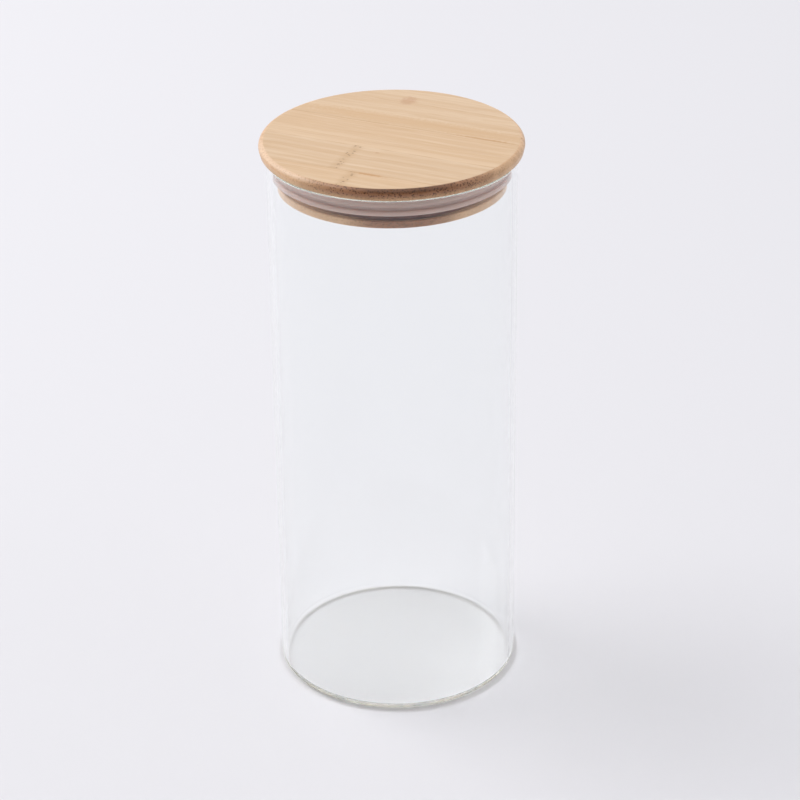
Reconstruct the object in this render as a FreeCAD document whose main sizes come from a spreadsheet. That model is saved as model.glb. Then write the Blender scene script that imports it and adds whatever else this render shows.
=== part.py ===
"""Lidded glass canister: a straight borosilicate jar with a bamboo plug lid and a silicone seal ring.

The jar is a tube closed by a flat base. The lid is turned from a glued board of three layers of
bamboo strips: a disc that covers the rim, a neck that carries the seal ring, and a flange that keeps
the ring on. Everything is turned about the Z axis. The jar stands on z = 0, and the grain of the
lid's top layer runs along X.
"""

import FreeCAD, Part
import os

import Sketcher

# Driving dimensions, in millimetres.
DIMENSIONS = {
    "jar_diameter": 85.0,
    "jar_height": 196.6,
    "wall_thickness": 2.0,
    "base_thickness": 1.5,
    "base_corner": 2.6,  # outer rounding where the wall meets the base
    "base_fillet": 0.8,  # inner rounding where the wall meets the base
    "rim_round": 0.9,  # fire-polished rim
    "recess_radius": 37.0,  # shallow dome under the base, so that the jar stands on a ring
    "recess_depth": 0.5,
    "rim_gap": 1.3,  # free height between the glass rim and the lid's disc
    "disc_diameter": 90.0,
    "disc_taper": 0.35,  # the disc's side leans in by this much at its lower edge
    "disc_thickness": 3.9,  # also the thickness of the top layer of strips
    "disc_top_round": 2.0,
    "disc_under_round": 0.4,
    "neck_diameter": 75.0,
    "neck_height": 9.3,
    "flange_diameter": 77.6,
    "flange_thickness": 2.6,
    "flange_round": 0.5,
    "core_thickness": 5.8,  # middle layer of strips
    "board_length": 100.0,  # of the strips before the lid is turned
    "strip_width": 20.7,
    "face_offset": -0.6,  # the middle strip of the top layer sits this far off the lid's axis
    "seal_neck_gap": 0.05,  # running fit of the ring on the lid's neck
    "seal_top_gap": 0.4,  # free height above the ring in its groove
    "seal_foot_gap": 2.3,  # and below it
    "seal_wall_gap": 0.15,  # free space between the ribs and the glass
    "rib_depth": 0.95,
    "rib_round": 0.6,
    "lower_rib_height": 1.75,  # this rib is the ring's foot
    "rib_space": 1.3,  # from the lower rib to the upper one
    "upper_rib_height": 2.4,
}

# Heights of the lid's steps, as expressions on the sheet.
LID_UNDERSIDE = "(dims.jar_height + dims.rim_gap)"
LID_TOP = f"({LID_UNDERSIDE} + dims.disc_thickness)"
NECK_BOTTOM = f"({LID_UNDERSIDE} - dims.neck_height)"
LID_BOTTOM = f"({NECK_BOTTOM} - dims.flange_thickness)"
CORE_BOTTOM = f"({LID_UNDERSIDE} - dims.core_thickness)"

FULL_TURN = 360
SAME_PLACE = 1e-4  # mm, for finding an edge by its radius and height


def make_sheet(doc):
    """The spreadsheet of driving dimensions, one named cell each."""
    sheet = doc.addObject("Spreadsheet::Sheet", "dims")
    for row, (name, value) in enumerate(DIMENSIONS.items(), start=1):
        sheet.set(f"A{row}", name)
        sheet.set(f"B{row}", str(value))
        sheet.setAlias(f"B{row}", name)
    doc.recompute()


def origin_feature(body, role):
    """One of the body's own origin planes or axes, by its role."""
    return next(f for f in body.Origin.OriginFeatures if f.Role == role)


def bind(sketch, name, constraint, expression):
    """Adds a dimension to the sketch and ties it to the sheet."""
    index = sketch.addConstraint(constraint)
    sketch.renameConstraint(index, name)
    sketch.setExpression(f"Constraints.{name}", expression)


def bulging_arc(start, end, radius):
    """The short arc from start to end that bulges to the right of the way from one to the other."""
    chord = end - start
    right = FreeCAD.Vector(chord.y, -chord.x, 0).normalize()
    bulge = radius - (radius**2 - (chord.Length / 2) ** 2) ** 0.5
    return Part.Arc(start, (start + end) / 2 + right * bulge, end)


def profile_sketch(body, name, outline):
    """A closed outline on the body's XZ plane, for turning about Z.

    The outline is a list of (radius, height) corners, as expressions. A third item is the radius of an
    arc from that corner to the next, and an outline with arcs runs anticlockwise, so they bulge out.
    """
    sketch = body.newObject("Sketcher::SketchObject", name)
    sketch.AttachmentSupport = [(origin_feature(body, "XZ_Plane"), "")]
    sketch.MapMode = "FlatFace"
    measured = [[float(sketch.evalExpression(item)) for item in corner] for corner in outline]
    points = [FreeCAD.Vector(corner[0], corner[1], 0) for corner in measured]
    count = len(outline)
    for i, sizes in enumerate(measured):
        start, end = points[i], points[(i + 1) % count]
        is_arc = len(sizes) == 3
        sketch.addGeometry(bulging_arc(start, end, sizes[2]) if is_arc else Part.LineSegment(start, end))
    for i, corner in enumerate(outline):
        sketch.addConstraint(Sketcher.Constraint("Coincident", i, 2, (i + 1) % count, 1))
        if len(corner) == 3:
            bind(sketch, f"bend_{i}", Sketcher.Constraint("Radius", i, measured[i][2]), corner[2])
        place_corner(sketch, i, points[i], corner)
    return sketch


def place_corner(sketch, edge, point, corner):
    """Ties the start of an edge to its radius and height, or puts it on an axis where that is 0."""
    if corner[0] == "0":
        sketch.addConstraint(Sketcher.Constraint("PointOnObject", edge, 1, -2))
    else:
        across = Sketcher.Constraint("DistanceX", -1, 1, edge, 1, point.x)
        bind(sketch, f"radius_{edge}", across, corner[0])
    if corner[1] == "0":
        sketch.addConstraint(Sketcher.Constraint("PointOnObject", edge, 1, -1))
    else:
        upward = Sketcher.Constraint("DistanceY", -1, 1, edge, 1, point.y)
        bind(sketch, f"height_{edge}", upward, corner[1])


def turn(body, kind, name, outline):
    """Turns an outline a full circle about the body's Z axis, as a Revolution or a Groove."""
    sketch = profile_sketch(body, f"{name}_profile", outline)
    feature = body.newObject(kind, name)
    feature.Profile = sketch
    feature.ReferenceAxis = (origin_feature(body, "Z_Axis"), [""])
    feature.Angle = FULL_TURN
    body.Document.recompute()


def circle_edges(feature, radius, height):
    """Names of the feature's whole-circle edges about Z of that radius at that height."""
    names = []
    for number, edge in enumerate(feature.Shape.Edges, start=1):
        if not isinstance(edge.Curve, Part.Circle):
            continue
        same_radius = abs(edge.Curve.Radius - radius) < SAME_PLACE
        if same_radius and abs(edge.Curve.Center.z - height) < SAME_PLACE:
            names.append(f"Edge{number}")
    if not names:
        raise RuntimeError(f"{feature.Name} has no edge of radius {radius} at height {height}")
    return names


def round_over(body, name, size, rings):
    """Rounds the body's circular edges, given as (radius, height) expressions, to a named size."""
    base = body.Tip
    edges = []
    for ring in rings:
        radius, height = (float(base.evalExpression(item)) for item in ring)
        edges += circle_edges(base, radius, height)
    fillet = body.newObject("PartDesign::Fillet", name)
    fillet.Base = (base, edges)
    fillet.setExpression("Radius", f"dims.{size}")
    body.Document.recompute()


def make_jar(doc):
    """The glass jar: wall and base in one piece, a rounded rim and a shallow dome underneath."""
    body = doc.addObject("PartDesign::Body", "glass_jar")
    outer = "(dims.jar_diameter / 2)"
    inner = f"({outer} - dims.wall_thickness)"
    outline = [
        ("0", "dims.base_thickness"),
        (inner, "dims.base_thickness"),
        (inner, "dims.jar_height"),
        (outer, "dims.jar_height"),
        (outer, "0"),
        ("0", "0"),
    ]
    turn(body, "PartDesign::Revolution", "jar_shell", outline)
    round_over(body, "jar_rim", "rim_round", [(inner, "dims.jar_height"), (outer, "dims.jar_height")])
    round_over(body, "jar_corner", "base_corner", [(outer, "0")])
    round_over(body, "jar_floor_fillet", "base_fillet", [(inner, "dims.base_thickness")])
    flat_volume = body.Shape.Volume
    dome_bend = "(dims.recess_radius^2 + dims.recess_depth^2) / (2 * dims.recess_depth)"
    dome = [("0", "0"), ("dims.recess_radius", "0", dome_bend), ("0", "dims.recess_depth")]
    turn(body, "PartDesign::Groove", "foot_recess", dome)
    if body.Shape.Volume >= flat_volume:
        raise RuntimeError("the recess under the base cut nothing")
    return body


def make_lid_blank(doc):
    """The turned shape of the whole lid, from which each strip takes its part."""
    body = doc.addObject("PartDesign::Body", "lid_blank")
    disc = "(dims.disc_diameter / 2)"
    disc_low = f"({disc} - dims.disc_taper)"
    neck = "(dims.neck_diameter / 2)"
    flange = "(dims.flange_diameter / 2)"
    outline = [
        ("0", LID_TOP),
        (disc, LID_TOP),
        (disc_low, LID_UNDERSIDE),
        (neck, LID_UNDERSIDE),
        (neck, NECK_BOTTOM),
        (flange, NECK_BOTTOM),
        (flange, LID_BOTTOM),
        ("0", LID_BOTTOM),
    ]
    turn(body, "PartDesign::Revolution", "lid_turning", outline)
    round_over(body, "disc_top_edge", "disc_top_round", [(disc, LID_TOP)])
    round_over(body, "disc_lower_edge", "disc_under_round", [(disc_low, LID_UNDERSIDE)])
    round_over(body, "flange_edges", "flange_round", [(flange, NECK_BOTTOM), (flange, LID_BOTTOM)])
    return body


def make_strip(doc, name, blank, corner, size):
    """One bamboo strip: the part of the turned lid that lies in the strip's place in the board.

    corner and size are expressions for the low corner and the size of that place.
    """
    place = doc.addObject("Part::Box", f"{name}_place")
    for side, expression in zip(("Length", "Width", "Height"), size):
        place.setExpression(side, expression)
    for axis, expression in zip("xyz", corner):
        place.setExpression(f"Placement.Base.{axis}", expression)
    strip = doc.addObject("Part::Common", name)
    strip.Base = blank
    strip.Tool = place
    return strip


def make_layer(doc, blank, name, count, bottom, top, offset="0", across=False):
    """A layer of strips side by side, with their grain along X, or along Y if across is set."""
    thickness = f"({top} - {bottom})"
    strips = []
    for i in range(count):
        corner = ["-dims.board_length / 2", f"{offset} + {i - count / 2} * dims.strip_width"]
        size = ["dims.board_length", "dims.strip_width"]
        if across:
            corner.reverse()
            size.reverse()
        place = (corner + [bottom], size + [thickness])
        strips.append(make_strip(doc, f"lid_{name}_strip_{i + 1}", blank, *place))
    return strips


def make_lid_strips(doc):
    """The strips of the lid's three layers. The middle layer lies across the other two."""
    blank = make_lid_blank(doc)
    face = make_layer(doc, blank, "face", 5, LID_UNDERSIDE, LID_TOP, offset="dims.face_offset")
    core = make_layer(doc, blank, "core", 4, CORE_BOTTOM, LID_UNDERSIDE, across=True)
    plug = make_layer(doc, blank, "plug", 4, LID_BOTTOM, CORE_BOTTOM)
    return face + core + plug


def make_seal(doc):
    """The silicone ring in the lid's groove, with two flat ribs with rounded edges that press on the glass."""
    body = doc.addObject("PartDesign::Body", "seal_ring")
    inner = "(dims.neck_diameter / 2 + dims.seal_neck_gap)"
    ribs = "(dims.jar_diameter / 2 - dims.wall_thickness - dims.seal_wall_gap)"
    band = f"({ribs} - dims.rib_depth)"
    bottom = f"({NECK_BOTTOM} + dims.seal_foot_gap)"
    lower_end = f"({bottom} + dims.lower_rib_height)"
    upper_start = f"({lower_end} + dims.rib_space)"
    upper_end = f"({upper_start} + dims.upper_rib_height)"
    top = f"({LID_UNDERSIDE} - dims.seal_top_gap)"
    outline = [
        (inner, bottom),
        (ribs, bottom),
        (ribs, lower_end),
        (band, lower_end),
        (band, upper_start),
        (ribs, upper_start),
        (ribs, upper_end),
        (band, upper_end),
        (band, top),
        (inner, top),
    ]
    turn(body, "PartDesign::Revolution", "seal_turning", outline)
    rib_edges = [(ribs, height) for height in (bottom, lower_end, upper_start, upper_end)]
    round_over(body, "seal_ribs", "rib_round", rib_edges)
    return body


def check(doc, parts):
    """Stops if anything failed to build, or if a part isn't a valid solid."""
    for thing in doc.Objects:
        if {"Invalid", "Error"} & set(thing.State):
            raise RuntimeError(f"{thing.Label} failed to build: {thing.State}")
    for part in parts:
        if part.Shape.isNull() or not part.Shape.isValid() or len(part.Shape.Solids) != 1:
            raise RuntimeError(f"{part.Label} is not one valid solid")


def main():
    doc = FreeCAD.newDocument("canister")
    make_sheet(doc)
    parts = [make_jar(doc), make_seal(doc)] + make_lid_strips(doc)
    doc.recompute()
    check(doc, parts)
    os.makedirs("parts", exist_ok=True)
    for part in parts:
        part.Shape.exportStep(f"parts/{part.Label}.step")
        print(f"{part.Label}: {part.Shape.Volume:.1f} mm3")


main()
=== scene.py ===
"""Looks of the lidded glass canister: clear glass jar, turned bamboo lid, silicone seal ring.

Everything is in metres in the frame of the CAD model: the jar stands on z = 0 and its axis is Z. The
grain of the lid's top layer runs along X. Sizes come from the boxes of the CAD nodes.
"""

import math
import random

import bmesh
import bpy
from mathutils import Matrix, Vector


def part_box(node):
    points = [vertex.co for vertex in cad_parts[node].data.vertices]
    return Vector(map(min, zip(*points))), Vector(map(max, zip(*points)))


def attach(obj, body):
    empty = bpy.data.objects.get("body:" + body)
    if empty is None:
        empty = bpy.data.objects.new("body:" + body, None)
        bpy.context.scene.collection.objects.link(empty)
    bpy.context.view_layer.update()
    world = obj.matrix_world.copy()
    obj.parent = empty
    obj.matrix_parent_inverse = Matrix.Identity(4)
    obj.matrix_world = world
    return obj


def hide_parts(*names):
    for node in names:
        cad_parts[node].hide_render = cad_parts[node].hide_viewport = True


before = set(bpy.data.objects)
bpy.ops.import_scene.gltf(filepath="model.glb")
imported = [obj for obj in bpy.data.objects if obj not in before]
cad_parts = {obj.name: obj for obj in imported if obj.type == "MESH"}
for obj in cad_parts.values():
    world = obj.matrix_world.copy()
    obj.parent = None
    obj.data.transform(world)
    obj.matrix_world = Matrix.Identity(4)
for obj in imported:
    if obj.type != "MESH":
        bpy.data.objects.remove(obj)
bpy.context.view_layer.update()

MM = 0.001
SEGMENTS = 360  # round the axis
GLASS_SEGMENTS = 720  # clear glass shows its facets sooner
ARC_STEPS = 8  # to a rounded corner
SMOOTH_ANGLE = math.radians(30)

# Where the camera of the reference view stands, relative to a point on the axis at the lid's top.
CAMERA_TARGET_HEIGHT = 0.2026
CAMERA_DISTANCE = 0.9618
CAMERA_ELEVATION = math.radians(22.47)
CAMERA_AZIMUTH = math.radians(24.4)
CAMERA_PITCH = math.radians(27.77)
CAMERA_PAN = math.radians(-0.115)
CAMERA_ROLL = math.radians(-0.66)
CAMERA_LENS = 128.56

# The ways that the lid's rim faces where its side is painted dark as painted shade, and where its rounded
# edge has a painted highlight.
SHADED_SIDE = (0.49, -0.87, 0.0)
HIGHLIGHT_SIDE = (-0.64, -0.77, 0.0)

# Heights in mm between which the colour of the lid changes, from the flange up.
FLANGE_TOP = (188.3, 188.6)
ABOVE_FLANGE = (188.62, 188.64)
NECK_FOOT = (188.65, 188.95)
SEAL_FOOT = (191.0, 191.5)
# The heights over which the painted shade on the disc's side fades in.
SHADED_HEIGHTS = (197.6, 200.0)

# Distances from the axis in mm between which the neck and the seal's thin part end.
NECK_SIDE = (37.8, 38.3)
THIN_SILICONE = (39.5, 40.2)

# How high the turned surfaces of the lid may still face, from 1 for straight up or down.
TURNED_LEVEL = (0.96, 0.9985)
ROUNDING_LEVEL = (0.2, 0.6)


# ---------------------------------------------------------------- mesh helpers


def arc(centre, radius, start, end):
    """Points of an arc from angle start to angle end, in degrees, in the (radius, height) plane."""
    steps = range(ARC_STEPS + 1)
    angles = [math.radians(start + (end - start) * i / ARC_STEPS) for i in steps]
    return [(centre[0] + radius * math.cos(a), centre[1] + radius * math.sin(a)) for a in angles]


def turned_mesh(outline, segments=SEGMENTS):
    """A bmesh of a closed (radius, height) outline turned about Z. It runs anticlockwise."""
    bm = bmesh.new()
    rings = []
    for radius, height in outline:
        if radius == 0:
            rings.append([bm.verts.new((0, 0, height))] * segments)
            continue
        angles = [math.tau * i / segments for i in range(segments)]
        rings.append([bm.verts.new((radius * math.cos(a), radius * math.sin(a), height)) for a in angles])
    for lower, upper in zip(rings, rings[1:] + rings[:1]):
        if lower[0] is lower[1] and upper[0] is upper[1]:
            continue
        for i in range(segments):
            following = (i + 1) % segments
            corners = [lower[i], lower[following], upper[following], upper[i]]
            bm.faces.new(dict.fromkeys(corners))
    return bm


def finish_mesh(bm, name, material):
    """Makes an object of a bmesh: normals outwards, smooth except at real edges."""
    bmesh.ops.recalc_face_normals(bm, faces=bm.faces)
    mesh = bpy.data.meshes.new(name)
    bm.to_mesh(mesh)
    bm.free()
    mesh.shade_smooth()
    mesh.set_sharp_from_angle(angle=SMOOTH_ANGLE)
    mesh.materials.append(material)
    piece = bpy.data.objects.new(name, mesh)
    bpy.context.scene.collection.objects.link(piece)
    weighted = piece.modifiers.new("face_area_normals", "WEIGHTED_NORMAL")
    weighted.keep_sharp = True
    return piece


def keep_between(bm, axis, low, high):
    """Cuts a closed mesh to the part between two planes across an axis, and closes it again."""
    for place, outward in ((low, -1), (high, 1)):
        normal = Vector((0, 0, 0))
        normal[axis] = outward
        point = Vector((0, 0, 0))
        point[axis] = place
        everything = bm.verts[:] + bm.edges[:] + bm.faces[:]
        cut = bmesh.ops.bisect_plane(bm, geom=everything, plane_co=point, plane_no=normal, clear_outer=True)
        rim = [e for e in cut["geom_cut"] if isinstance(e, bmesh.types.BMEdge)]
        if rim:
            bmesh.ops.holes_fill(bm, edges=rim)


# ------------------------------------------------------------ material helpers


def new_material(name):
    """An empty node material and its tree, with an output node."""
    material = bpy.data.materials.new(name)
    material.use_nodes = True
    tree = material.node_tree
    tree.nodes.clear()
    return material, tree


def add(tree, kind, inputs=None, **settings):
    """Adds a node with its settings, and its inputs by name or number: a value or another's output."""
    node = tree.nodes.new(kind)
    for name, value in settings.items():
        setattr(node, name, value)
    for name, value in (inputs or {}).items():
        if isinstance(value, bpy.types.NodeSocket):
            tree.links.new(value, node.inputs[name])
        else:
            node.inputs[name].default_value = value
    return node


def calc(tree, operation, *values, clamp=False):
    """A maths node's result."""
    inputs = dict(enumerate(values))
    return add(tree, "ShaderNodeMath", inputs, operation=operation, use_clamp=clamp).outputs[0]


def fade(tree, value, low, high, at_low=0.0, at_high=1.0):
    """Maps value smoothly from at_low, where it is low, to at_high, where it is high."""
    inputs = {"Value": value, "From Min": low, "From Max": high, "To Min": at_low, "To Max": at_high}
    node = add(tree, "ShaderNodeMapRange", inputs, interpolation_type="SMOOTHSTEP")
    return node.outputs["Result"]


def blend_colours(tree, factor, first, second, kind="MIX"):
    """Mixes two colours by a factor."""
    node = add(tree, "ShaderNodeMix", data_type="RGBA", blend_type=kind)
    for number, value in ((0, factor), (6, first), (7, second)):
        if isinstance(value, bpy.types.NodeSocket):
            tree.links.new(value, node.inputs[number])
        else:
            node.inputs[number].default_value = value
    return node.outputs[2]


def noise(tree, vector, scale, detail=2.0, roughness=0.5):
    """A noise texture's value, about 0.5 on average."""
    inputs = {"Vector": vector, "Scale": scale, "Detail": detail, "Roughness": roughness}
    return add(tree, "ShaderNodeTexNoise", inputs).outputs["Fac"]


def flat_place(tree, place):
    """The level direction from the axis to a place, of length one, and its distance in mm."""
    level = add(tree, "ShaderNodeVectorMath", {0: place, 1: (1.0, 1.0, 0.0)}, operation="MULTIPLY")
    distance = add(tree, "ShaderNodeVectorMath", {0: level.outputs[0]}, operation="LENGTH")
    direction = add(tree, "ShaderNodeVectorMath", {0: level.outputs[0]}, operation="NORMALIZE")
    return direction.outputs[0], calc(tree, "MULTIPLY", distance.outputs["Value"], 1 / MM)


def turned_to(tree, direction, side, low, high):
    """How far a direction points to a side: 0 where the cosine between them is low, 1 where it is high."""
    product = add(tree, "ShaderNodeVectorMath", {0: direction, 1: side}, operation="DOT_PRODUCT")
    return fade(tree, product.outputs["Value"], low, high)


def rgb(red, green, blue):
    """A linear colour with full alpha."""
    return (red, green, blue, 1.0)


# ------------------------------------------------------------------- materials


def glass_material():
    """Clear borosilicate glass: drawn-tube waviness, faint smudges, and a green tint in its depth."""
    material, tree = new_material("clear_glass")
    place = add(tree, "ShaderNodeTexCoord").outputs["Object"]
    drawn = add(tree, "ShaderNodeMapping", {"Vector": place, "Scale": (1.0, 1.0, 0.12)}).outputs[0]
    waves = noise(tree, drawn, 45.0, detail=1.0)
    smudges = fade(tree, noise(tree, place, 30.0, detail=4.0), 0.55, 0.8, 0.0, 0.035)
    bump = add(tree, "ShaderNodeBump", {"Height": waves, "Strength": 0.007, "Distance": 0.001})
    glass = add(tree, "ShaderNodeBsdfPrincipled", {
        "Base Color": rgb(0.991, 0.999, 0.997),
        "Roughness": smudges,
        "IOR": 1.473,
        "Transmission Weight": 1.0,
        "Normal": bump.outputs[0],
    })
    depth = add(tree, "ShaderNodeVolumeAbsorption", {"Color": rgb(0.70, 0.90, 0.60), "Density": 1.0})
    add(tree, "ShaderNodeOutputMaterial", {"Surface": glass.outputs[0], "Volume": depth.outputs[0]})
    return material


def silicone_material():
    """Translucent white silicone, satin, finely mottled. The wood shows through where it is thin."""
    material, tree = new_material("white_silicone")
    place = add(tree, "ShaderNodeTexCoord").outputs["Object"]
    cloud = noise(tree, place, 220.0, detail=3.0)
    colour = blend_colours(tree, cloud, rgb(0.61, 0.44, 0.38), rgb(0.67, 0.50, 0.44))
    radius = flat_place(tree, place)[1]
    thin = fade(tree, radius, *THIN_SILICONE, 0.15, 0.0)
    colour = blend_colours(tree, thin, colour, rgb(0.36, 0.21, 0.17))
    grain = noise(tree, place, 2500.0, detail=2.0)
    bump = add(tree, "ShaderNodeBump", {"Height": grain, "Strength": 0.08, "Distance": 0.0002})
    rubber = add(tree, "ShaderNodeBsdfPrincipled", {
        "Base Color": colour,
        "Roughness": fade(tree, cloud, 0.3, 0.7, 0.34, 0.42),
        "IOR": 1.41,
        "Subsurface Weight": 0.35,
        "Subsurface Radius": (0.004, 0.0025, 0.002),
        "Subsurface Scale": 1.0,
        "Normal": bump.outputs[0],
    })
    add(tree, "ShaderNodeOutputMaterial", {"Surface": rubber.outputs[0]})
    return material


class Grain:
    """A strip's own grain: distances in mm along it, across it and up, and the fibres' textures."""

    def __init__(self, tree, place, grain_axis, draw):
        """place is the object's coordinate and grain_axis, 0 or 1, the axis that the fibres run along."""
        self.tree = tree
        parts = add(tree, "ShaderNodeSeparateXYZ", {0: place}).outputs
        self.along = calc(tree, "MULTIPLY", parts[grain_axis], 1 / MM)
        self.across = calc(tree, "MULTIPLY", parts[1 - grain_axis], 1 / MM)
        self.up = calc(tree, "MULTIPLY", parts[2], 1 / MM)
        slow = calc(tree, "MULTIPLY", self.along, 0.03)
        drift = add(tree, "ShaderNodeCombineXYZ", {0: slow, 1: draw.uniform(0, 90)}).outputs[0]
        self.bent = calc(tree, "MULTIPLY_ADD", noise(tree, drift, 1.0), 1.6, self.across)
        self.shift = (draw.uniform(0, 90), draw.uniform(0, 90), draw.uniform(0, 90))
        self.tone = noise(tree, self.fibres(0.012), 0.28, detail=2.0)
        self.streaks = noise(tree, self.fibres(0.032), 1.3, detail=3.0, roughness=0.65)
        self.flecks = noise(tree, self.fibres(0.09), 0.9, detail=3.0, roughness=0.6)
        self.bundles = fade(tree, self.cells(0.024, 1.25, 0.9), 0.16, 0.36, 1.0, 0.0)
        self.ends = fade(tree, self.cells(1.0, 1.35, 1.0), 0.2, 0.5, 1.0, 0.0)

    def fibres(self, stretch):
        """Millimetres, squeezed along the grain, so that a texture in it is drawn out into fibres."""
        squeezed = calc(self.tree, "MULTIPLY", self.along, stretch)
        spot = add(self.tree, "ShaderNodeCombineXYZ", {0: squeezed, 1: self.bent, 2: self.up}).outputs[0]
        moved = add(self.tree, "ShaderNodeVectorMath", {0: spot, 1: self.shift}, operation="ADD")
        return moved.outputs[0]

    def cells(self, stretch, scale, randomness):
        """The distance from the middle of a Voronoi cell in that space."""
        inputs = {"Vector": self.fibres(stretch), "Scale": scale, "Randomness": randomness}
        return add(self.tree, "ShaderNodeTexVoronoi", inputs).outputs["Distance"]


def bamboo_material(name, seed, grain_axis, across_range, knuckles=(), dark_seams=(), stains=()):
    """Flat-pressed bamboo for one strip, sawn on its faces and turned on its sides.

    grain_axis is 0 or 1, the axis that the fibres run along, and across_range the strip's two sides on
    the other axis. The rest is what face_colour takes.
    """
    draw = random.Random(seed)
    material, tree = new_material(name)
    coordinate = add(tree, "ShaderNodeTexCoord")
    grain = Grain(tree, coordinate.outputs["Object"], grain_axis, draw)
    facing = add(tree, "ShaderNodeSeparateXYZ", {0: coordinate.outputs["Normal"]}).outputs
    level = calc(tree, "ABSOLUTE", facing[2])
    turned = fade(tree, level, *TURNED_LEVEL, 1.0, 0.0)
    direction, radius = flat_place(tree, coordinate.outputs["Object"])

    face = face_colour(tree, grain, draw, across_range, knuckles, dark_seams, stains)
    side = side_colour(tree, grain, level, direction)
    colour = blend_colours(tree, turned, face, side)
    # The neck under the seal ring is painted dark: painted shade in the recess.
    colour = blend_colours(tree, neck_painted_shade(tree, grain, direction, radius), colour, rgb(0.14, 0.035, 0.015))

    roughness = calc(tree, "MULTIPLY_ADD", turned, -0.17, fade(tree, grain.streaks, 0.3, 0.7, 0.42, 0.58))
    relief = calc(tree, "MULTIPLY_ADD", grain.bundles, -0.6, grain.streaks)
    bump = add(tree, "ShaderNodeBump", {"Height": relief, "Strength": 0.25, "Distance": 0.00015})
    wood = add(tree, "ShaderNodeBsdfPrincipled", {
        "Base Color": colour,
        "Roughness": roughness,
        "IOR": 1.45,
        "Normal": bump.outputs[0],
    })
    add(tree, "ShaderNodeOutputMaterial", {"Surface": wood.outputs[0]})
    return material


def face_colour(tree, grain, draw, across_range, knuckles, dark_seams, stains):
    """The colour of a strip's sawn face.

    knuckles are places along the grain of the rows of dots where the culm had a node. dark_seams are
    the numbers, 0 or 1, of the sides whose glue line is dark. stains are soft marks, each its place
    along and across the grain, its half length and half width, its strength and its colour.
    """
    warmth = draw.uniform(0.94, 1.0)
    pale = rgb(0.74 * warmth, 0.537 * warmth, 0.348 * warmth)
    honey = rgb(0.67 * warmth, 0.456 * warmth, 0.27 * warmth)
    face = blend_colours(tree, fade(tree, grain.tone, 0.35, 0.65), pale, honey)
    brown = fade(tree, grain.streaks, 0.45, 0.75, 0.0, 0.35)
    face = blend_colours(tree, brown, face, rgb(0.62, 0.41, 0.23))
    face = blend_colours(tree, calc(tree, "MULTIPLY", grain.bundles, 0.13), face, rgb(0.42, 0.24, 0.11))
    dark_fleck = fade(tree, grain.flecks, 0.52, 0.75, 0.0, 0.36)
    face = blend_colours(tree, dark_fleck, face, rgb(0.58, 0.37, 0.20))
    pale_fleck = fade(tree, grain.flecks, 0.25, 0.45, 0.25, 0.0)
    face = blend_colours(tree, pale_fleck, face, rgb(0.84, 0.67, 0.50))
    for mark in stains:
        face = stain(tree, face, grain.along, grain.across, *mark)
    for place in knuckles:
        face = knuckle(tree, face, grain.along, grain.across, place, draw)
    for number, edge in enumerate(across_range):
        face = glue_line(tree, face, grain.along, grain.across, edge, number in dark_seams, draw)
    return face


def side_colour(tree, grain, level, direction):
    """The colour of the turned side, with the cut ends of the fibre bundles as fine dots.

    It is pale where the light fibres were cut along. On the part of the rim and the flange that faces the
    dark side of the room it is painted dark: painted shade. The rounded top edge has more painted shade,
    darkest in the middle of that part, and a painted highlight at the left of it.
    """
    # These masks pick out the side that faces the dark side of the room, where the colour is painted dark as
    # painted shade.
    towards_shade = turned_to(tree, direction, SHADED_SIDE, 0.58, 0.95)
    middle = turned_to(tree, direction, SHADED_SIDE, 0.85, 0.99)
    on_disc = fade(tree, grain.up, *SHADED_HEIGHTS)
    on_flange = fade(tree, grain.up, *ABOVE_FLANGE, 1.0, 0.0)
    flange_painted_shade = calc(tree, "MULTIPLY", middle, calc(tree, "MULTIPLY", on_flange, 0.7))
    painted_shade = calc(tree, "MULTIPLY_ADD", towards_shade, on_disc, flange_painted_shade)
    mottle = fade(tree, grain.tone, 0.35, 0.65)
    pale = blend_colours(tree, mottle, rgb(0.75, 0.475, 0.265), rgb(0.66, 0.405, 0.22))
    # The dark side colour is painted shade.
    dark = blend_colours(tree, mottle, rgb(0.40, 0.19, 0.095), rgb(0.31, 0.14, 0.065))
    side = blend_colours(tree, painted_shade, pale, dark)
    # On the flange the side that faces the dark room is painted dark as painted shade, and the rest is
    # painted pale as painted light.
    flange = blend_colours(tree, middle, rgb(0.88, 0.58, 0.34), rgb(0.37, 0.13, 0.05))
    side = blend_colours(tree, calc(tree, "MULTIPLY", on_flange, 0.5), side, flange)

    # Painted shade on the rounded top edge, darkest where it faces the dark room.
    rounding = calc(tree, "MULTIPLY", on_disc, fade(tree, level, *ROUNDING_LEVEL))
    edge_painted_shade = calc(tree, "MULTIPLY", rounding, turned_to(tree, direction, SHADED_SIDE, 0.9, 0.99))
    side = blend_colours(tree, calc(tree, "MULTIPLY", edge_painted_shade, 0.75), side, rgb(0.13, 0.055, 0.025))
    # A painted highlight: a pale patch on the rounded top edge at the left.
    edge_painted_highlight = calc(tree, "MULTIPLY", rounding, turned_to(tree, direction, HIGHLIGHT_SIDE, 0.85, 0.97))
    side = blend_colours(tree, calc(tree, "MULTIPLY", edge_painted_highlight, 0.35), side, rgb(0.90, 0.72, 0.55))

    # The cut fibre ends are grain. On the shaded side they are painted darker and stronger, as part of the
    # painted shade.
    ends = blend_colours(tree, painted_shade, rgb(0.40, 0.21, 0.10), rgb(0.05, 0.02, 0.01))
    strength = calc(tree, "MULTIPLY_ADD", painted_shade, 0.55, 0.28)
    return blend_colours(tree, calc(tree, "MULTIPLY", grain.ends, strength), side, ends)


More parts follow.
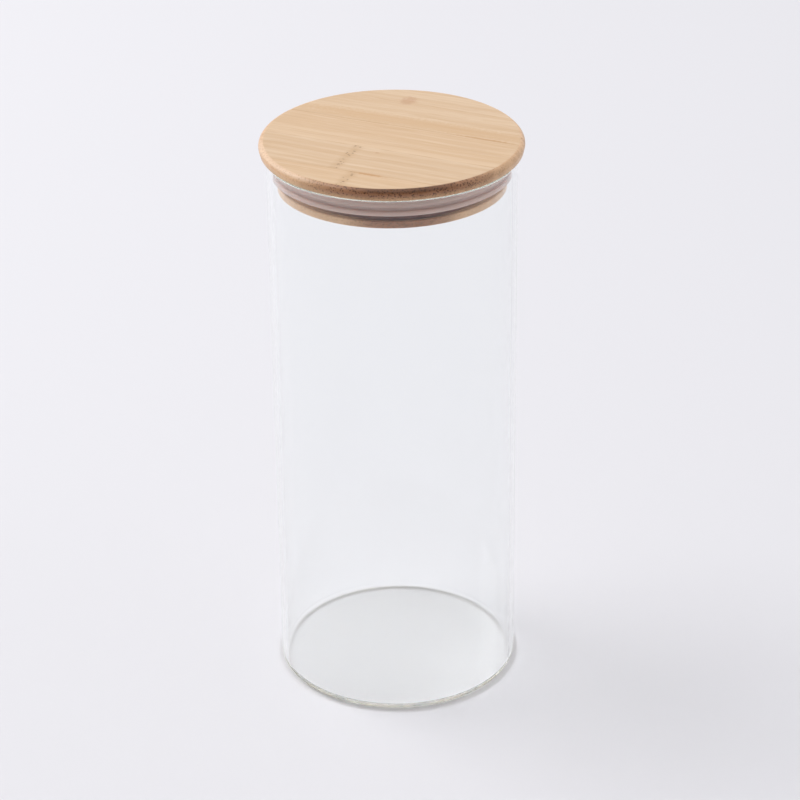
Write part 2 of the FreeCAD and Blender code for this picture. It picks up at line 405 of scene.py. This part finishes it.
def neck_painted_shade(tree, grain, direction, radius):
    """How strongly the neck between the flange and the seal ring is painted dark: painted shade in the
    recess under the seal.

    On the side that faces the dark room this painted shade is darkest, and runs out over the top of the
    flange.
    """
    towards_shade = turned_to(tree, direction, SHADED_SIDE, 0.58, 0.95)
    middle = turned_to(tree, direction, SHADED_SIDE, 0.85, 0.99)
    on_neck = fade(tree, radius, *NECK_SIDE, 1.0, 0.0)
    on_neck = calc(tree, "MULTIPLY", on_neck, fade(tree, grain.up, *SEAL_FOOT, 1.0, 0.0))
    strength = calc(tree, "MULTIPLY_ADD", towards_shade, 0.7, 0.25)
    strength = calc(tree, "MULTIPLY", strength, fade(tree, grain.up, *NECK_FOOT))
    run_out = calc(tree, "MULTIPLY", middle, fade(tree, grain.up, *FLANGE_TOP))
    return calc(tree, "MULTIPLY", on_neck, calc(tree, "MAXIMUM", strength, run_out))


def knuckle(tree, face, along, across, place, draw):
    """Adds a culm node to a strip's colour: a browner band across the grain with a row of small dots."""
    waver = add(tree, "ShaderNodeCombineXYZ", {0: across, 1: draw.uniform(0, 90)}).outputs[0]
    middle = calc(tree, "MULTIPLY_ADD", noise(tree, waver, 0.25), 2.2, place - 1.1)
    offset = calc(tree, "ABSOLUTE", calc(tree, "SUBTRACT", along, middle))
    face = blend_colours(tree, fade(tree, offset, 0.2, 3.0, 0.35, 0.0), face, rgb(0.50, 0.31, 0.15))
    drawn_out = calc(tree, "MULTIPLY", along, 0.55)
    grid = add(tree, "ShaderNodeCombineXYZ", {0: drawn_out, 1: across, 2: draw.uniform(0, 90)}).outputs[0]
    specks = add(tree, "ShaderNodeTexVoronoi", {"Vector": grid, "Scale": 0.95}).outputs["Distance"]
    spots = fade(tree, specks, 0.16, 0.36, 0.8, 0.0)
    row = fade(tree, offset, 0.8, 1.6, 1.0, 0.0)
    return blend_colours(tree, calc(tree, "MULTIPLY", spots, row), face, rgb(0.20, 0.095, 0.04))


def stain(tree, face, along, across, middle, side, half_length, half_width, strength, colour):
    """Adds a soft mark with a ragged edge, drawn out along the grain, to a strip's colour."""
    way_along = calc(tree, "DIVIDE", calc(tree, "SUBTRACT", along, middle), half_length)
    way_across = calc(tree, "DIVIDE", calc(tree, "SUBTRACT", across, side), half_width)
    place = add(tree, "ShaderNodeCombineXYZ", {0: way_along, 1: way_across}).outputs[0]
    reach = add(tree, "ShaderNodeVectorMath", {0: place}, operation="LENGTH").outputs["Value"]
    on_face = add(tree, "ShaderNodeCombineXYZ", {0: along, 1: across}).outputs[0]
    ragged = noise(tree, on_face, 0.8, detail=3.0)
    reach = calc(tree, "MULTIPLY_ADD", ragged, 0.9, calc(tree, "SUBTRACT", reach, 0.45))
    return blend_colours(tree, fade(tree, reach, 0.35, 1.0, strength, 0.0), face, colour)


def glue_line(tree, face, along, across, edge, dark, draw):
    """Adds the joint with the next strip to a strip's colour, as a thin line that comes and goes."""
    offset = calc(tree, "ABSOLUTE", calc(tree, "SUBTRACT", across, edge))
    strength = fade(tree, offset, 0.08, 0.6, 1.0, 0.0)
    drift = add(tree, "ShaderNodeCombineXYZ", {0: along, 1: draw.uniform(0, 90)}).outputs[0]
    if dark:
        presence = fade(tree, noise(tree, drift, 0.05), 0.35, 0.6, 0.2, 0.6)
    else:
        presence = fade(tree, noise(tree, drift, 0.09), 0.35, 0.7, 0.05, 0.4)
    return blend_colours(tree, calc(tree, "MULTIPLY", strength, presence), face, rgb(0.48, 0.26, 0.10))


def floor_material():
    """Matt pale paper."""
    material, tree = new_material("pale_floor")
    place = add(tree, "ShaderNodeTexCoord").outputs["Object"]
    fibre = noise(tree, place, 900.0, detail=3.0)
    colour = blend_colours(tree, fibre, rgb(0.752, 0.747, 0.771), rgb(0.764, 0.759, 0.783))
    bump = add(tree, "ShaderNodeBump", {"Height": fibre, "Strength": 0.05, "Distance": 0.0001})
    paper = add(tree, "ShaderNodeBsdfPrincipled", {
        "Base Color": colour,
        "Roughness": 0.9,
        "Specular IOR Level": 0.1,
        "Normal": bump.outputs[0],
    })
    add(tree, "ShaderNodeOutputMaterial", {"Surface": paper.outputs[0]})
    return material


# ---------------------------------------------------------------------- pieces


def make_jar():
    """The glass jar, with a fire-polished rim, rounded corners and a shallow dome underneath."""
    low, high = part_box("glass_jar")
    outer = high.x
    wall = 2.0 * MM
    inner = outer - wall
    rim = 0.9 * MM
    corner = 2.6 * MM
    floor = 1.5 * MM
    fillet = 0.8 * MM
    recess = 37.0 * MM
    dome = 0.5 * MM
    outline = [(0, low.z + dome)]
    spread = (0.15, 0.3, 0.45, 0.6, 0.75, 0.9, 0.97, 1.0)
    outline += [(recess * t, low.z + dome * (1 - t * t)) for t in spread]
    outline += arc((outer - corner, low.z + corner), corner, -90, 0)
    outline += arc((outer - rim, high.z - rim), rim, 0, 90)
    outline += arc((inner + rim, high.z - rim), rim, 90, 180)
    outline += arc((inner - fillet, floor + fillet), fillet, 0, -90)
    outline += [(inner * t, floor) for t in (0.6, 0.3)]
    outline += [(0, floor)]
    piece = finish_mesh(turned_mesh(outline, GLASS_SEGMENTS), "jar_glass", glass_material())
    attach(piece, "jar")
    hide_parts("glass_jar")


def make_seal():
    """The silicone ring: a flat band with two flat-faced ribs that have rounded edges."""
    low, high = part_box("seal_ring")
    ribs = high.x
    band = ribs - 0.95 * MM
    inner = 37.55 * MM
    band_round = 0.25 * MM
    rib_round = 0.6 * MM
    lower_end = low.z + 1.75 * MM
    upper_start = lower_end + 1.3 * MM
    upper_end = upper_start + 2.4 * MM
    outline = [(inner, low.z)]
    for start, end in ((low.z, lower_end), (upper_start, upper_end)):
        if start > low.z:
            outline.append((band, start))
        outline += arc((ribs - rib_round, start + rib_round), rib_round, -90, 0)
        outline += arc((ribs - rib_round, end - rib_round), rib_round, 0, 90)
        outline.append((band, end))
    outline += arc((band - band_round, high.z - band_round), band_round, 0, 90)
    outline += [(inner, high.z)]
    piece = finish_mesh(turned_mesh(outline), "seal_silicone", silicone_material())
    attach(piece, "seal")
    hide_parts("seal_ring")


def lid_outline():
    """The turned outline of the whole lid, from its lowest face up."""
    strips = [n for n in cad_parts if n.startswith("lid_")]
    disc = max(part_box(n)[1].x for n in strips)
    top = max(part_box(n)[1].z for n in strips)
    bottom = min(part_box(n)[0].z for n in strips)
    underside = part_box("lid_face_strip_3")[0].z
    flange = 38.8 * MM
    neck = 37.5 * MM
    flange_top = bottom + 2.6 * MM
    disc_low = disc - 0.35 * MM
    top_round = 2.0 * MM
    under_round = 0.4 * MM
    flange_round = 0.5 * MM
    outline = [(0, bottom)]
    outline += arc((flange - flange_round, bottom + flange_round), flange_round, -90, 0)
    outline += arc((flange - flange_round, flange_top - flange_round), flange_round, 0, 90)
    outline += [(neck, flange_top), (neck, underside)]
    outline += arc((disc_low - under_round, underside + under_round), under_round, -90, 0)
    outline += arc((disc - top_round, top - top_round), top_round, 0, 90)
    outline += [(0, top)]
    return outline


def make_lid():
    """The bamboo lid, cut into its glued strips. Each strip has a material of its own."""
    outline = lid_outline()
    tan = rgb(0.62, 0.40, 0.215)
    orange = rgb(0.50, 0.24, 0.075)
    reddish = rgb(0.52, 0.29, 0.16)
    smudge = (-8.0, 32.2, 3.8, 5.0, 0.6, reddish)
    looks = {
        "lid_face_strip_1": {"knuckles": [0.5], "stains": [(6.5, -31.7, 7.5, 0.9, 0.7, orange)]},
        "lid_face_strip_2": {"knuckles": [-7.1], "stains": [
            (6.0, -31.4, 7.0, 0.6, 0.55, orange),
            (1.1, -14.1, 1.1, 0.55, 0.65, reddish),
        ]},
        "lid_face_strip_3": {"dark_seams": [1]},
        "lid_face_strip_4": {"dark_seams": [0], "stains": [
            (4.0, 14.6, 75.0, 5.6, 0.75, tan),
            (30.0, 10.2, 16.0, 0.8, 0.6, orange),
            smudge,
        ]},
        "lid_face_strip_5": {"stains": [smudge]},
    }
    names = sorted(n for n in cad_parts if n.startswith("lid_"))
    limits = {n: strip_limits(n) for n in names}
    for seed, name in enumerate(names, start=1):
        bm = turned_mesh(outline)
        for axis, (low, high) in enumerate(limits[name]):
            keep_between(bm, axis, low, high)
        grain_axis = 1 if "core" in name else 0
        sides = [side / MM for side in limits[name][1 - grain_axis]]
        material = bamboo_material(f"bamboo_{name}", seed, grain_axis, sides, **looks.get(name, {}))
        piece = finish_mesh(bm, f"{name}_wood", material)
        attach(piece, "lid")
        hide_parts(name)


def strip_limits(name):
    """The planes that bound a strip of the lid, on each axis."""
    low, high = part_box(name)
    return [(low[axis], high[axis]) for axis in range(3)]


# ----------------------------------------------------------------------- stage


def make_floor():
    """A plain pale floor, far wider than any view."""
    bm = bmesh.new()
    bmesh.ops.create_circle(bm, cap_ends=True, segments=64, radius=12.0)
    floor = finish_mesh(bm, "floor", floor_material())
    floor.location.z = -0.0001


def area_light(name, azimuth, elevation, distance, size, power, colour):
    """A square softbox that faces the middle of the jar. Its angles are in degrees."""
    aim = Vector((0, 0, 0.1))
    turn, rise = math.radians(azimuth), math.radians(elevation)
    way = Vector((math.cos(rise) * math.cos(turn), math.cos(rise) * math.sin(turn), math.sin(rise)))
    light = bpy.data.lights.new(name, "AREA")
    light.shape = "SQUARE"
    light.size = size
    light.energy = power
    light.color = colour
    lamp = bpy.data.objects.new(name, light)
    lamp.location = aim + way * distance
    lamp.rotation_euler = way.to_track_quat("Z", "Y").to_euler()
    bpy.context.scene.collection.objects.link(lamp)


def make_light():
    """Soft studio light: two softboxes at the left, and a room that is pale except on one side."""
    white = (1.0, 0.998, 1.0)
    area_light("key", azimuth=184.0, elevation=54.0, distance=2.6, size=1.6, power=22.0, colour=white)
    area_light("low_key", azimuth=176.0, elevation=28.0, distance=2.6, size=1.3, power=10.0, colour=white)
    world = bpy.data.worlds.new("studio")
    bpy.context.scene.world = world
    world.use_nodes = True
    tree = world.node_tree
    tree.nodes.clear()
    way = add(tree, "ShaderNodeTexCoord").outputs["Generated"]
    dark_side = (math.sin(CAMERA_AZIMUTH), -math.cos(CAMERA_AZIMUTH), -0.1)
    facing = add(tree, "ShaderNodeVectorMath", {0: way, 1: dark_side}, operation="DOT_PRODUCT")
    shade = fade(tree, facing.outputs["Value"], 0.0, 0.9)
    colour = blend_colours(tree, shade, rgb(0.98, 0.98, 1.005), rgb(0.12, 0.115, 0.115))
    sky = add(tree, "ShaderNodeBackground", {"Color": colour, "Strength": 1.0})
    add(tree, "ShaderNodeOutputWorld", {"Surface": sky.outputs[0]})


def make_camera():
    """The camera, at the reference view's angle."""
    centre = Vector((0, 0, CAMERA_TARGET_HEIGHT))
    turn = Matrix.Rotation(CAMERA_AZIMUTH, 4, "Z")
    back = math.cos(CAMERA_ELEVATION) * CAMERA_DISTANCE
    above = math.sin(CAMERA_ELEVATION) * CAMERA_DISTANCE
    camera = bpy.data.cameras.new("camera")
    camera.lens = CAMERA_LENS
    camera.sensor_width = 36.0
    viewer = bpy.data.objects.new("camera", camera)
    place = Matrix.Translation(centre + turn @ Vector((0, -back, above)))
    heading = Matrix.Rotation(CAMERA_AZIMUTH + CAMERA_PAN, 4, "Z")
    tilt = Matrix.Rotation(math.pi / 2 - CAMERA_PITCH, 4, "X")
    viewer.matrix_world = place @ heading @ tilt @ Matrix.Rotation(CAMERA_ROLL, 4, "Z")
    bpy.context.scene.collection.objects.link(viewer)
    bpy.context.scene.camera = viewer


def set_quality():
    """Plain colours, and enough bounces for light to be guided up inside the glass wall."""
    scene = bpy.context.scene
    scene.view_settings.view_transform = "Standard"
    scene.view_settings.look = "None"
    scene.cycles.max_bounces = 400
    scene.cycles.transmission_bounces = 400
    scene.cycles.glossy_bounces = 400
    scene.cycles.blur_glossy = 0.0
    scene.cycles.diffuse_bounces = 4
    scene.cycles.sample_clamp_indirect = 10.0


make_camera()
make_light()
make_floor()
make_jar()
make_seal()
make_lid()
set_quality()
